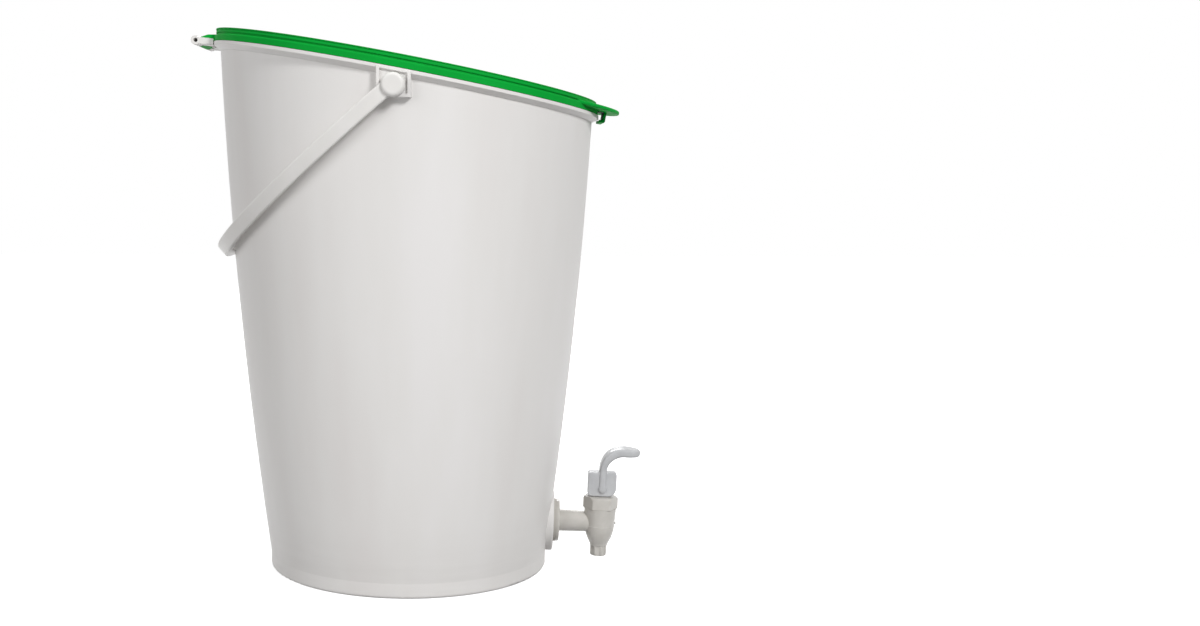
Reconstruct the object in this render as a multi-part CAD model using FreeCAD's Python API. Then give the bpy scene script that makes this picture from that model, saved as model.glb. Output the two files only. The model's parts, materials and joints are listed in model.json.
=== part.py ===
import FreeCAD, Part
import math
import os

# Kitchen composting bucket for fermenting food scraps, in millimetres.
# A tapered bucket with a slanted rim, a hinged lid, a bail handle, a perforated
# strainer plate over a liquid chamber, and a spring-closed tap near the floor.
# +Z is up, +X is the tap side, -X is the hinge side, and the origin is the
# centre of the foot ring, on the surface that the bucket stands on.

# Bucket shell: a round wall that flares and bows outwards, cut by a tilted rim.
FOOT_R = 104.2
FOOT_BAND = 11.0
FOOT_ROUND = 2.5
FOOT_RING = 7.0
FOOT_RECESS = 3.0
WALL_TOP_R = 138.2
WALL_BOW = 5.0
WALL_T = 2.4
FLOOR_T = 2.6
RIM_Z = 362.9
RIM_TILT = 10.9

# Rim: the wall's own lip, a gutter beside it, and a collar round the outside, whose
# underside slopes back to the wall.
LIP_RISE = 3.0
COLLAR_REACH = 4.6
COLLAR_H = 2.4
COLLAR_EDGE = 2.7
GUTTER_DEPTH = 1.0
COLLAR_SLOPE = 3.0

# Lid: a skirt that stands on the collar, a raised dome and a plug ring.
SEAM_GAP = 0.3
SKIRT_INSET = 0.6
SKIRT_T = 3.0
SKIRT_H = 5.0
EDGE_GROOVE = 1.2
EDGE_GROOVE_DEPTH = 1.8
DOME_INSET = 1.1
DOME_H = 4.4
DOME_ROUND = 2.4
SKIRT_ROUND = 1.0
LID_CROWN = 1.2
CROWN_INSET = 4.0
PANEL_T = 2.2
PLUG_GAP = 1.3
PLUG_T = 3.7
PLUG_DROP = 0.5
LIP_ROOM = 1.0

# Lid tab and its latch hook.
TAB_R = 81.0
TAB_TIP = 15.8
TAB_T = 2.9
TAB_DROP = 3.2
TAB_ROUND = 1.2
TAB_ROOT = 1.5
HOOK_W = 31.0
HOOK_T = 1.9
HOOK_LEG_OUT = 4.7
HOOK_GAP = 0.35
HOOK_ROUND = 1.6

# Hinge: two lugs on the collar and the lid's knuckle between them.
HINGE_OUT = 10.5
HINGE_DROP = 1.45
HINGE_EYE_R = 3.4
LUG_IN = 14.6
LUG_W = 14.7
LUG_T = 4.8
LUG_SLOPE = 6.5
LUG_ROOT = 1.0
KNUCKLE_GAP = 0.4
KNUCKLE_FLAT = 6.0
KNUCKLE_RISE = 0.6
KNUCKLE_HEEL = 1.6
KNUCKLE_HEEL_UP = 0.4
STUB_R = 1.45
STUB_LEN = 3.0
PIN_PLAY = 0.06
LEDGE_OUT = 2.0
LEDGE_T = 2.5
LEDGE_LAP = 1.0

# Bail handle and the brackets that carry it.
PIVOT_Z = 351.3
BRACKET_HALF = 11.3
BRACKET_DROP = 8.0
BRACKET_PROUD = 0.3
BRACKET_RIB = 2.3
POCKET_DEPTH = 1.7
EYE_R = 7.9
EYE_T = 7.4
EYE_GAP = 0.5
EYE_ROUND = 2.6
BAIL_CLEAR = 1.4
STRAP_W = 10.2
STRAP_RISE = 1.1
STRAP_T = 4.0
STRAP_ROUND = 1.2
GRIP_REACH = 180.4
GRIP_T = 7.5
GRIP_GAP = 0.5
STUD_R = 4.0
STUD_LEN = 4.4
STUD_PLAY = 0.08

# Strainer plate: rings of holes, given as the share of the plate's radius and
# the number of holes, and an upright fin to lift it by.
STRAINER_Z = 48.0
STRAINER_T = 2.5
STRAINER_GAP = 1.6
STRAINER_SEAT = 0.2
HOLE_R = 3.5
HOLE_LEAD = 0.6
HOLE_RINGS = ((0.806, 32, 0.0), (0.664, 26, 90.0), (0.522, 22, 90.0),
              (0.377, 14, 90.0), (0.238, 10, 90.0))
FIN_LEN = 80.0
FIN_T = 3.2
FIN_H = 24.0
FIN_ROUND = 6.0
NIB_HALF = 1.5
NIB_ROOT = 2.0
SEAT_RIBS = 6
SEAT_RIB_T = 3.0
SEAT_RIB_REACH = 8.0

# Tap, in a frame whose origin is the centre of the boss's face: its own x runs
# outwards along the shank and its own z runs up along the barrel.
TAP_Z = 33.0
TAP_LEAN = 2.0
BOSS_R = 22.9
BOSS_SINK = 0.4
BOSS_PAD = 0.9
BOSS_PAD_R = 14.0
BOSS_ROUND = 1.2
BOSS_ROOT = 6.0
TAP_OUT = 35.3
THREAD_R = 7.9
THREAD_SPARE = 5.6
THREAD_PLAY = 0.3
WASHER_R = 16.0
WASHER_T = 2.2
FLANGE_R = 15.8
FLANGE_T = 2.4
SHANK_R = 8.3
SHANK_END_R = 7.3
WATERWAY_R = 5.0
INNER_WASHER_R = 13.0
INNER_WASHER_T = 2.0
NUT_ACROSS = 25.0
NUT_T = 7.5
NUT_PLAY = 0.1

BARREL_TOP = 11.2
BARREL_R = 12.1
WAIST_Z = -2.3
WAIST_R = 11.2
NECK_R = 9.6
NECK_H = 5.9
CHAMBER_R = 7.4
SEAT_Z = -8.7
SHOULDER_R = 8.0
SHOULDER_Z = -13.8
CHEST_R = 10.2
CHEST_Z = -8.2
THROAT_R = 6.75
THROAT_Z = -16.4
NOZZLE_TOP = -19.2
NOZZLE_END = -25.1
NOZZLE_R = 6.1
NOZZLE_TAPER = 0.2
NOZZLE_BORE_R = 4.0
NOZZLE_ACROSS = 11.2
NOZZLE_FLAT_RISE = 1.5
NUB_R = 0.9
NUB_UP = 2.0
BONNET_CORNER_R = 13.0
BONNET_ACROSS = 22.9
BONNET_H = 8.9
BONNET_ROOF = 2.3
BONNET_CHAMFER = 1.3
SEAL_IN_R = 6.4
SEAL_INSET = 0.3
SEAL_T = 0.7

STEM_R = 2.7
STEM_FOOT_R = 2.0
STEM_PLAY = 0.06
STEM_TOP = 3.0
CUP_R = 6.3
CUP_T = 3.8
CUP_LAP = 0.5
CUP_BOSS_R = 3.6
CUP_BOSS_H = 5.0
SPRING_R = 4.9
SPRING_WIRE_R = 0.45
SPRING_TURNS = 7
SPRING_END_GAP = 0.1

# Tap lever: a cam block on a cross pin, with a curved paddle above it.
PIVOT_UP = 6.2
CAM_GAP = 0.3
CAM_BACK = 10.3
CAM_FRONT = 11.0
CAM_H = 18.3
CAM_HALF = 5.0
CAM_CORNER = 6.3
CAM_HEEL = 2.6
CAM_TOP_ROUND = 1.5
CAM_SLOT_HALF = 2.95
CAM_SLOT_BACK = 5.0
CAM_SLOT_FRONT = 7.6
CAM_SLOT_ROOM = 1.0
LEVER_PIN_R = 1.5
ARM_T = 4.6
ARM_HALF = 6.6
ARM_SHIFT = 0.7
ARM_RISE = 13.5
ARM_BEND_R = 15.0
ARM_END_R = 3.1
PADDLE_HALF = 8.5
PADDLE_LEN = 9.5
PADDLE_DROOP = 12.0

# FAR is further than any piece reaches, and OVER is how far a cut runs past what it cuts.
FAR = 400.0
OVER = 1.0
TILT = math.tan(math.radians(RIM_TILT))


def vec(x, y, z):
    return FreeCAD.Vector(x, y, z)


def post(radius, low, high, x=0.0, y=0.0):
    """An upright round bar."""
    return Part.makeCylinder(radius, high - low, vec(x, y, low))


def bar_x(radius, x0, x1, z=0.0, y=0.0):
    """A round bar that lies along X."""
    return Part.makeCylinder(radius, x1 - x0, vec(x0, y, z), vec(1, 0, 0))


def bar_y(radius, y0, y1, x=0.0, z=0.0):
    """A round bar that lies along Y."""
    return Part.makeCylinder(radius, y1 - y0, vec(x, y0, z), vec(0, 1, 0))


def block(x0, x1, y0, y1, z0, z1):
    return Part.makeBox(x1 - x0, y1 - y0, z1 - z0, vec(x0, y0, z0))


def side_plate(points, y0, y1):
    """A flat outline in the XZ plane, made as thick as y0 to y1."""
    corners = [vec(x, y0, z) for x, z in points]
    face = Part.Face(Part.makePolygon(corners + corners[:1]))
    return face.extrude(vec(0, y1 - y0, 0))


def line(a, b):
    return Part.LineSegment(vec(a[0], 0, a[1]), vec(b[0], 0, b[1])).toShape()


def arc(a, b, c):
    """An arc in the XZ plane through three points."""
    return Part.Arc(vec(a[0], 0, a[1]), vec(b[0], 0, b[1]), vec(c[0], 0, c[1])).toShape()


def turned(edges, x=0.0):
    """The solid that a closed outline in the XZ plane sweeps round an upright axis."""
    face = Part.Face(Part.Wire(edges))
    return face.revolve(vec(x, 0, 0), vec(0, 0, 1), 360)


def hexagon(across, low, high, x=0.0, turn=0.0):
    """An upright hexagonal bar with flats that face +Y and -Y."""
    corner = across / math.sqrt(3)
    spots = [math.radians(turn + 60 * i) for i in range(6)]
    points = [vec(x + corner * math.cos(a), corner * math.sin(a), low) for a in spots]
    return Part.Face(Part.makePolygon(points + points[:1])).extrude(vec(0, 0, high - low))


def rounded(shape, radius, picked):
    """The shape with the edges that the test picks rounded."""
    edges = [e for e in shape.Edges if picked(e)]
    return shape.makeFillet(radius, edges)


def mirrored(shape):
    """The shape and its twin on the other side of the XZ plane."""
    return [shape, shape.mirror(vec(0, 0, 0), vec(0, 1, 0))]


def samples(edge):
    first, last = edge.FirstParameter, edge.LastParameter
    return [edge.valueAt(first + (last - first) * i / 6.0) for i in range(7)]


# The wall is an arc in section, from the foot band up to a height that clears the rim.
WALL_TOP_Z = RIM_Z + WALL_TOP_R * TILT + LIP_RISE + 5.0
_RISE = WALL_TOP_Z - FOOT_BAND
_FLARE = WALL_TOP_R - FOOT_R
_CHORD = math.hypot(_RISE, _FLARE)
WALL_ARC_R = (_CHORD ** 2 / 4 + WALL_BOW ** 2) / (2 * WALL_BOW)
WALL_ARC_X = (FOOT_R + WALL_TOP_R) / 2 + (WALL_BOW - WALL_ARC_R) * _RISE / _CHORD
WALL_ARC_Z = (FOOT_BAND + WALL_TOP_Z) / 2 - (WALL_BOW - WALL_ARC_R) * _FLARE / _CHORD


def wall_radius(z, inset=0.0):
    """The wall's radius at a height, measured that far inside its outer face."""
    return WALL_ARC_X + math.sqrt((WALL_ARC_R - inset) ** 2 - (z - WALL_ARC_Z) ** 2)


def rim_height(x, rise=0.0):
    """The height of the tilted seam between collar and lid, at one x."""
    return RIM_Z - x * TILT + rise


def rim_reach(side):
    """Where the wall's outer face meets the seam, on the -X or the +X side."""
    x = side * WALL_TOP_R
    for _ in range(30):
        x = side * wall_radius(rim_height(x))
    return x


RIM_X = (rim_reach(1) + rim_reach(-1)) / 2
RIM_R = (rim_reach(1) - rim_reach(-1)) / 2
COLLAR_R = RIM_R + COLLAR_REACH
GUTTER_R = COLLAR_R - COLLAR_EDGE
SKIRT_R = COLLAR_R - SKIRT_INSET
DOME_R = SKIRT_R - DOME_INSET
LID_H = SKIRT_H + DOME_H
PLUG_R = RIM_R - WALL_T - PLUG_GAP
FLOOR_Z = FOOT_RECESS + FLOOR_T

HINGE_X = RIM_X - COLLAR_R - HINGE_OUT
HINGE_Z = rim_height(HINGE_X) - HINGE_DROP
BRACKET_Y = COLLAR_R + BRACKET_PROUD
EYE_Y = BRACKET_Y + EYE_GAP
BAIL_Y = COLLAR_R + BAIL_CLEAR
GRIP_IN = GRIP_REACH - GRIP_T
SOCKET_Y = EYE_Y - STUD_LEN - EYE_GAP

BOSS_X = wall_radius(TAP_Z + BOSS_R) - BOSS_SINK
BOSS_T = BOSS_X - wall_radius(TAP_Z, WALL_T) + BOSS_PAD
THREAD_END = -(BOSS_T + INNER_WASHER_T + NUT_T + THREAD_SPARE)
STRAINER_R = wall_radius(STRAINER_Z, WALL_T) - STRAINER_GAP
BONNET_TOP = BARREL_TOP + BONNET_H
PIVOT_UP_Z = BONNET_TOP + PIVOT_UP
CUP_TOP = SEAT_Z + CUP_T
ROOF_Z = BONNET_TOP - BONNET_ROOF


def rim_slab(low, high):
    """All the space between two planes that lie parallel to the seam."""
    points = [(-FAR, rim_height(-FAR, low)), (FAR, rim_height(FAR, low)),
              (FAR, rim_height(FAR, high)), (-FAR, rim_height(-FAR, high))]
    return side_plate(points, -FAR, FAR)


def rim_disc(radius, low, high):
    """A round upright disc, centred on the rim and cut parallel to the seam."""
    return post(radius, 0, 2 * FAR, RIM_X).common(rim_slab(low, high))


def runs_round_rim(edge, radius, rise):
    """Whether an edge follows the rim at this radius, this far above the seam."""
    for p in samples(edge):
        if abs(math.hypot(p.x - RIM_X, p.y) - radius) > 0.02:
            return False
        if abs(p.z - rim_height(p.x, rise)) > 0.02:
            return False
    return True


def lean(shape):
    """Place a piece of the tap: its frame leans outwards at the boss's face."""
    placed = shape.copy()
    placed.rotate(vec(0, 0, 0), vec(0, 1, 0), TAP_LEAN)
    placed.translate(vec(BOSS_X, 0, TAP_Z))
    return placed


def wall_solid(inset, low):
    """The round solid inside the wall's outer face, or that far inside it."""
    side = [(FOOT_R - inset, low), (wall_radius(FOOT_BAND, inset), FOOT_BAND)]
    middle = (FOOT_BAND + WALL_TOP_Z) / 2
    top = (wall_radius(WALL_TOP_Z, inset), WALL_TOP_Z)
    edges = [line((0, low), side[0]), line(side[0], side[1]),
             arc(side[1], (wall_radius(middle, inset), middle), top),
             line(top, (0, WALL_TOP_Z)), line((0, WALL_TOP_Z), (0, low))]
    return turned(edges)


def collar(outer, inner):
    """The band round the rim, with the gutter between it and the wall's lip."""
    low = -COLLAR_H - COLLAR_SLOPE
    band = rim_disc(COLLAR_R, low, 0)
    edges = [e for e in band.Edges if runs_round_rim(e, COLLAR_R, low)]
    band = band.makeChamfer(COLLAR_SLOPE, COLLAR_REACH, edges)
    gutter = rim_disc(GUTTER_R, -GUTTER_DEPTH, FAR / 4).cut(outer)
    return band.cut(inner), gutter


def hinge_lug():
    """One flat lug with a round eye, from the collar out to the hinge axis."""
    reach = HINGE_OUT + COLLAR_EDGE
    bar = block(0, reach, LUG_IN, LUG_IN + LUG_W, -LUG_T / 2, LUG_T / 2)
    bar.rotate(vec(0, 0, 0), vec(0, 1, 0), LUG_SLOPE)
    bar.translate(vec(HINGE_X, 0, HINGE_Z))
    eye = bar_y(HINGE_EYE_R, LUG_IN, LUG_IN + LUG_W, HINGE_X, HINGE_Z)
    under_lid = rim_disc(COLLAR_R + HOOK_GAP, 0, FAR / 8)
    lug = bar.fuse(eye).cut([post(COLLAR_R - LUG_ROOT, 0, 2 * FAR, RIM_X), under_lid])
    hole = bar_y(STUB_R + PIN_PLAY, LUG_IN - OVER, LUG_IN + LUG_W + OVER, HINGE_X, HINGE_Z)
    return lug, hole


def hinge_ledge():
    """The small shelf on the collar between the two lugs."""
    top = LEDGE_LAP - COLLAR_H
    shelf = rim_disc(COLLAR_R + LEDGE_OUT, top - LEDGE_T, top)
    half = LUG_IN + LEDGE_LAP
    span = block(-FAR, RIM_X - COLLAR_R / 2, -half, half, 0, 2 * FAR)
    return shelf.common(span)


def bracket():
    """The ribbed pad under the collar that takes the handle's stud."""
    low = PIVOT_Z - BRACKET_DROP
    pad = block(-BRACKET_HALF, BRACKET_HALF, COLLAR_R * 0.9, BRACKET_Y, low, RIM_Z + FAR / 8)
    pad = pad.common(rim_slab(-FAR, -COLLAR_H / 2))
    inside = BRACKET_HALF - BRACKET_RIB
    pocket = block(-inside, inside, BRACKET_Y - POCKET_DEPTH, BRACKET_Y + OVER,
                   low + BRACKET_RIB, RIM_Z + FAR / 8)
    pocket = pocket.common(rim_slab(-FAR, -COLLAR_H)).cut(
        bar_y(STUD_R + BRACKET_RIB, 0, BRACKET_Y, 0, PIVOT_Z))
    socket = bar_y(STUD_R + STUD_PLAY, SOCKET_Y, BRACKET_Y + OVER, 0, PIVOT_Z)
    return pad.cut(pocket), socket


def tap_boss(inner):
    """The round pad that gives the tap a flat seat outside and inside the wall."""
    pad = bar_x(BOSS_R, -BOSS_T - BOSS_ROOT, 0)
    pad = rounded(pad, BOSS_ROUND, lambda e: all(abs(p.x) < 0.01 for p in samples(e)))
    seat = bar_x(BOSS_PAD_R, -BOSS_T, -BOSS_ROUND)
    facing = bar_x(BOSS_PAD_R, THREAD_END, -BOSS_T)
    hole = bar_x(THREAD_R + THREAD_PLAY, THREAD_END, OVER)
    return lean(pad).cut(inner).fuse(lean(seat)), lean(facing).fuse(lean(hole))


def seat_rib(angle):
    """One upright rib inside the wall, which the strainer plate stands on."""
    high = STRAINER_Z - STRAINER_SEAT
    rib = block(STRAINER_R - SEAT_RIB_REACH, WALL_TOP_R, -SEAT_RIB_T / 2, SEAT_RIB_T / 2,
                FLOOR_Z - FLOOR_T / 2, high)
    rib.rotate(vec(0, 0, 0), vec(0, 0, 1), angle)
    return rib


def bucket():
    outer = wall_solid(0.0, 0.0)
    outer = rounded(outer, FOOT_ROUND, lambda e: all(
        abs(p.z) < 0.01 and math.hypot(p.x, p.y) > FOOT_R - 0.01 for p in samples(e)))
    inner = wall_solid(WALL_T, FLOOR_Z)
    band, gutter = collar(outer, inner)
    shell = outer.common(rim_slab(-2 * FAR, LIP_RISE)).fuse(band)
    lug, lug_hole = hinge_lug()
    pad, socket = bracket()
    added = [hinge_ledge()] + mirrored(lug) + mirrored(pad)
    shell = shell.fuse(added).cut(inner)
    boss, boss_cut = tap_boss(inner)
    ribs = [seat_rib(360.0 * (i + 0.5) / SEAT_RIBS).common(outer) for i in range(SEAT_RIBS)]
    shell = shell.fuse([boss] + ribs)
    recess = post(FOOT_R - FOOT_RING, -OVER, FOOT_RECESS)
    cuts = [gutter, boss_cut, recess] + mirrored(lug_hole) + mirrored(socket)
    return shell.cut(cuts).removeSplitter()


def lid_dish():
    """The lid's round body: skirt, dome with a groove below it, lip groove and plug ring."""
    skirt = rim_disc(SKIRT_R, SEAM_GAP, SKIRT_H)
    skirt = rounded(skirt, SKIRT_ROUND, lambda e: runs_round_rim(e, SKIRT_R, SKIRT_H))
    neck = rim_disc(SKIRT_R - EDGE_GROOVE_DEPTH, SKIRT_H - OVER, SKIRT_H + EDGE_GROOVE + OVER)
    dome = rim_disc(DOME_R, SKIRT_H + EDGE_GROOVE, LID_H)
    dome = rounded(dome, DOME_ROUND, lambda e: runs_round_rim(e, DOME_R, LID_H))
    dome = dome.fuse(neck)
    plug = rim_disc(PLUG_R, -PLUG_DROP, SKIRT_H)
    dish = skirt.fuse([dome, plug, lid_crown()])
    inside = post(PLUG_R - PLUG_T, 0, 2 * FAR, RIM_X)
    under_crown = lid_crown()
    under_crown.translate(vec(0, 0, -PANEL_T))
    hollow = inside.common(rim_slab(-FAR / 4, LID_H - PANEL_T)).fuse(inside.common(under_crown))
    groove = rim_disc(SKIRT_R - SKIRT_T, -FAR / 4, LIP_RISE + LIP_ROOM)
    return dish.cut([hollow, groove.cut(post(PLUG_R, 0, 2 * FAR, RIM_X))])


def lid_crown():
    """The lid's slightly domed top: the cap of a large ball, tilted with the rim."""
    cap_r = DOME_R - DOME_ROUND - CROWN_INSET
    ball_r = (cap_r ** 2 + LID_CROWN ** 2) / (2 * LID_CROWN)
    depth = ball_r - LID_CROWN
    slope = math.radians(RIM_TILT)
    centre = vec(RIM_X - depth * math.sin(slope), 0,
                 rim_height(RIM_X, LID_H) - depth * math.cos(slope))
    return Part.makeSphere(ball_r, centre).common(rim_disc(DOME_R, LID_H - OVER, LID_H + FAR / 8))


def tab():
    """The half-moon finger tab at the front of the lid."""
    centre = RIM_X + SKIRT_R + TAB_TIP - TAB_R
    high = LID_H - TAB_DROP
    plate = post(TAB_R, 0, 2 * FAR, centre).common(rim_slab(high - TAB_T, high))
    plate = rounded(plate, TAB_ROUND, lambda e: not isinstance(e.Curve, Part.Line)
                    and len(e.Vertexes) > 0)
    ahead = block(RIM_X, FAR, -FAR, FAR, 0, 2 * FAR)
    return plate.common(ahead).cut(post(DOME_R - TAB_ROOT, 0, 2 * FAR, RIM_X))


def latch_hook():
    """The L-shaped hook under the tab, with its foot below the collar."""
    foot_top = -COLLAR_H - HOOK_GAP
    leg_top = LID_H - TAB_DROP - TAB_T / 2
    reach = COLLAR_EDGE + HOOK_LEG_OUT
    half = HOOK_W / 2
    leg = block(-HOOK_T, 0, -half, half, foot_top - HOOK_T, leg_top)
    leg = rounded(leg, HOOK_ROUND, lambda e: all(
        abs(p.x) < 0.01 and abs(p.z - foot_top + HOOK_T) < 0.01 for p in samples(e)))
    foot = block(-reach, -HOOK_ROUND, -half, half, foot_top - HOOK_T, foot_top)
    hook = leg.fuse(foot)
    hook.rotate(vec(0, 0, 0), vec(0, 1, 0), RIM_TILT)
    x = RIM_X + COLLAR_R + HOOK_LEG_OUT
    hook.translate(vec(x, 0, rim_height(x)))
    return hook.cut(post(COLLAR_R + HOOK_GAP, 0, 2 * FAR, RIM_X))


def knuckle():
    """The lid's half of the hinge: a strap, a round eye and two snap-in stubs."""
    half = LUG_IN - KNUCKLE_GAP
    root = RIM_X - SKIRT_R + SKIRT_T / 2
    edge = RIM_X - COLLAR_R
    flat = HINGE_X + KNUCKLE_FLAT
    outline = [(HINGE_X - STUB_R / 3, HINGE_Z + HINGE_EYE_R - PIN_PLAY),
               (flat, rim_height(flat, SKIRT_H)),
               (root, rim_height(root, SKIRT_H + EDGE_GROOVE)),
               (root, rim_height(root, KNUCKLE_RISE)),
               (edge, rim_height(edge, KNUCKLE_RISE)),
               (HINGE_X + KNUCKLE_HEEL, HINGE_Z - HINGE_EYE_R + KNUCKLE_HEEL_UP),
               (HINGE_X, HINGE_Z)]
    strap = side_plate(outline, -half, half)
    eye = bar_y(HINGE_EYE_R, -half, half, HINGE_X, HINGE_Z)
    tip = STUB_LEN / 3
    pin = bar_y(STUB_R, 0, half + STUB_LEN - tip, HINGE_X, HINGE_Z)
    nose = Part.makeCone(STUB_R, STUB_R / 2, tip, vec(HINGE_X, half + STUB_LEN - tip, HINGE_Z),
                         vec(0, 1, 0))
    return strap.fuse([eye] + mirrored(pin.fuse(nose)))


def lid():
    return lid_dish().fuse([tab(), latch_hook(), knuckle()]).removeSplitter()


def rest_angle():
    """How far the bail hangs below level, in degrees, when the grip meets the wall."""
    half = STRAP_W / 2 - STRAP_RISE
    angle = 5.0
    while angle < 80.0:
        a = math.radians(angle)
        x = GRIP_IN * math.cos(a) - half * math.sin(a)
        z = PIVOT_Z - GRIP_IN * math.sin(a) - half * math.cos(a)
        if x - wall_radius(z) < GRIP_GAP:
            break
        angle += 0.05
    return angle


def half_oval(reach, half_width):
    """The half of an oval that lies on the -X side, from one pivot to the other."""
    oval = Part.Ellipse(vec(0, 0, 0), reach, half_width)
    return Part.ArcOfEllipse(oval, math.pi / 2, 3 * math.pi / 2).toShape()


def strap():
    """The bail's flat band, thickest at the grip."""
    outside = BAIL_Y + STRAP_T
    rim = [half_oval(GRIP_REACH, outside), half_oval(GRIP_IN, BAIL_Y)]
    ends = [Part.LineSegment(vec(0, s * BAIL_Y, 0), vec(0, s * outside, 0)).toShape()
            for s in (-1, 1)]
    wire = Part.Wire(Part.sortEdges(rim + ends)[0])
    band = Part.Face(wire).extrude(vec(0, 0, STRAP_W))
    band.translate(vec(0, 0, STRAP_RISE - STRAP_W / 2))
    return rounded(band, STRAP_ROUND, lambda e: isinstance(e.Curve, Part.Ellipse))


def eye_disc():
    """The round end of the bail, closed on the outside, with its stud inside."""
    disc = bar_y(EYE_R, EYE_Y, EYE_Y + EYE_T)
    disc = rounded(disc, EYE_ROUND, lambda e: all(
        p.y > EYE_Y + EYE_T - 0.01 for p in samples(e)))
    stud = bar_y(STUD_R, EYE_Y - STUD_LEN, EYE_Y)
    return disc.fuse(stud)


def handle():
    bail = strap().fuse(mirrored(eye_disc())).removeSplitter()
    bail.rotate(vec(0, 0, 0), vec(0, 1, 0), -rest_angle())
    bail.translate(vec(0, 0, PIVOT_Z))
    return bail


def strainer_hole(x, y):
    """A round hole with a small lead-in at the top."""
    top = STRAINER_Z + STRAINER_T
    hole = post(HOLE_R, STRAINER_Z - OVER, top + OVER, x, y)
    lead = Part.makeCone(HOLE_R, HOLE_R + HOLE_LEAD, HOLE_LEAD, vec(x, y, top - HOLE_LEAD))
    return hole.fuse(lead)


def strainer_plate():
    top = STRAINER_Z + STRAINER_T
    plate = post(STRAINER_R, STRAINER_Z, top)
    holes = []
    for share, count, start in HOLE_RINGS:
        for i in range(count):
            a = math.radians(start + 360.0 * i / count)
            holes.append(strainer_hole(share * STRAINER_R * math.cos(a),
                                       share * STRAINER_R * math.sin(a)))
    plate = plate.cut(Part.makeCompound(holes))
    fin = block(-FIN_LEN / 2, FIN_LEN / 2, -FIN_T / 2, FIN_T / 2, STRAINER_Z, top + FIN_H)
    fin = rounded(fin, FIN_ROUND, lambda e: all(
        abs(p.z - top - FIN_H) < 0.01 and abs(abs(p.x) - FIN_LEN / 2) < 0.01
        for p in samples(e)))
    nib = block(-STRAINER_R - STRAINER_GAP / 2, -STRAINER_R + NIB_ROOT, -NIB_HALF, NIB_HALF,
                STRAINER_Z, top)
    return plate.fuse([fin, nib]).removeSplitter()


def barrel_profile():
    """The outline of the tap's barrel, from the nozzle's end up to its threaded neck."""
    floor, nozzle = (0, NOZZLE_END), (NOZZLE_R - NOZZLE_TAPER, NOZZLE_END)
    throat, shoulder = (NOZZLE_R, NOZZLE_TOP), (SHOULDER_R, SHOULDER_Z)
    waist, top = (WAIST_R, WAIST_Z), (BARREL_R, BARREL_TOP)
    neck, neck_top = (NECK_R, BARREL_TOP), (NECK_R, BARREL_TOP + NECK_H)
    middle = (0, BARREL_TOP + NECK_H)
    edges = [line(floor, nozzle), line(nozzle, throat),
             arc(throat, (THROAT_R, THROAT_Z), shoulder),
             arc(shoulder, (CHEST_R, CHEST_Z), waist), line(waist, top), line(top, neck),
             line(neck, neck_top), line(neck_top, middle), line(middle, floor)]
    for edge in edges:
        edge.translate(vec(TAP_OUT, 0, 0))
    return edges


def tap_body():
    barrel = turned(barrel_profile(), TAP_OUT)
    flat_top = NOZZLE_TOP + NOZZLE_FLAT_RISE
    flats = hexagon(NOZZLE_ACROSS, NOZZLE_END - OVER, flat_top, TAP_OUT)
    keep = flats.fuse(post(FAR, flat_top, FAR, TAP_OUT))
    barrel = barrel.common(keep)
    flange_out = WASHER_T + FLANGE_T
    flange = bar_x(FLANGE_R, WASHER_T, flange_out)
    flange = rounded(flange, FLANGE_T / 3, lambda e: all(
        abs(p.x - flange_out) < 0.01 for p in samples(e)))
    shank = Part.makeCone(SHANK_R, SHANK_END_R, TAP_OUT - flange_out, vec(flange_out, 0, 0),
                          vec(1, 0, 0))
    thread = bar_x(THREAD_R, THREAD_END, WASHER_T)
    nub = bar_x(NUB_R, TAP_OUT, TAP_OUT + WAIST_R + NUB_R, WAIST_Z + NUB_UP)
    solid = barrel.fuse([flange, shank, thread, nub])
    chamber = post(CHAMBER_R, SEAT_Z, BONNET_TOP, TAP_OUT)
    outlet = post(NOZZLE_BORE_R, NOZZLE_END - OVER, SEAT_Z + OVER, TAP_OUT)
    waterway = bar_x(WATERWAY_R, THREAD_END - OVER, TAP_OUT)
    return lean(solid.cut([chamber, outlet, waterway]).removeSplitter())


def tap_bonnet():
    """The hexagonal cap that screws onto the barrel's neck and guides the stem."""
    cap = hexagon(BONNET_ACROSS, BARREL_TOP, BONNET_TOP, TAP_OUT)
    cut_r = BONNET_CORNER_R - BONNET_CHAMFER
    round_off = post(BONNET_CORNER_R, BARREL_TOP, BONNET_TOP - BONNET_CHAMFER, TAP_OUT).fuse(
        Part.makeCone(BONNET_CORNER_R, cut_r, BONNET_CHAMFER,
                      vec(TAP_OUT, 0, BONNET_TOP - BONNET_CHAMFER)))
    cap = cap.common(round_off)
    cavity = post(NECK_R + NUT_PLAY, BARREL_TOP - OVER, ROOF_Z, TAP_OUT)
    guide = post(STEM_R + STEM_PLAY, ROOF_Z - OVER, BONNET_TOP + OVER, TAP_OUT)
    return lean(cap.cut([cavity, guide]))


def tap_bonnet_seal():
    """The flat ring squeezed between the barrel's neck and the bonnet's roof."""
    low = ROOF_Z - SEAL_T
    return lean(post(NECK_R - SEAL_INSET, low, ROOF_Z, TAP_OUT).cut(
        post(SEAL_IN_R, low - OVER, ROOF_Z + OVER, TAP_OUT)))


def tap_stem():
    """The rod that lifts the seat cup, with a cross hole for the lever's pin."""
    shoulder = CUP_TOP + CUP_BOSS_H
    rod = post(STEM_R, shoulder, PIVOT_UP_Z + STEM_TOP, TAP_OUT)
    foot = post(STEM_FOOT_R, SEAT_Z + CUP_T / 2, shoulder, TAP_OUT)
    cross = bar_y(LEVER_PIN_R + STEM_PLAY, -STEM_R - OVER, STEM_R + OVER, TAP_OUT, PIVOT_UP_Z)
    return lean(rod.fuse(foot).cut(cross).removeSplitter())


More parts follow.
